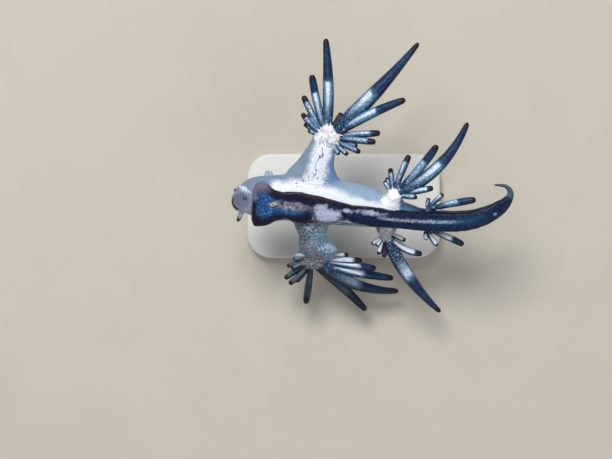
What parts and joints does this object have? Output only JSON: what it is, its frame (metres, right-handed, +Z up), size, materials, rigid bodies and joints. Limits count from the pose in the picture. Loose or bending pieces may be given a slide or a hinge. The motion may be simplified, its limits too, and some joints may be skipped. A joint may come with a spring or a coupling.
{
  "type": "blue dragon sea slug",
  "caption": "Life-size still model of a blue dragon sea slug floating foot up, with fans of finger-like cerata and a curled tail, on a small display stand.",
  "frame": {"origin": "centre of the underside of the stand's base", "axes": "+Z up, out of the sole of the foot, which faces up; the head points to -X and the tail to +X; the animal's own left side is at +Y"},
  "size_m": [0.0337, 0.0329, 0.0178],
  "materials": {
    "pale_skin": "wet silvery blue-white skin of the head, body and arms",
    "foot_skin": "wet dark navy skin of the sole and tail",
    "cerata_skin": "wet deep blue skin of the cerata and feelers, with silver streaks",
    "stand_base": "plain off-white satin display base",
    "stand_rod": "thin brushed steel rods"
  },
  "bodies": {
    "root": {"head": "pale_skin", "oral_tentacle_left": "cerata_skin", "oral_tentacle_right": "cerata_skin", "rhinophore_left": "cerata_skin", "rhinophore_right": "cerata_skin", "body_front": "pale_skin", "body_rear": "pale_skin", "foot_front": "foot_skin", "foot_rear": "foot_skin", "tail_front": "foot_skin", "tail_middle": "foot_skin", "tail_tip": "foot_skin", "arm_front_left": "pale_skin", "arm_front_right": "pale_skin", "arm_rear_left": "pale_skin", "arm_rear_right": "pale_skin", "cerata_front_left_fore": "cerata_skin", "cerata_front_left_aft": "cerata_skin", "cerata_front_right": "cerata_skin", "cerata_rear_left": "cerata_skin", "cerata_rear_right": "cerata_skin", "cerata_tail_left": "cerata_skin", "cerata_tail_right": "cerata_skin", "stand_base": "stand_base", "stand_rod_front": "stand_rod", "stand_rod_rear": "stand_rod"}
  },
  "joints": []
}
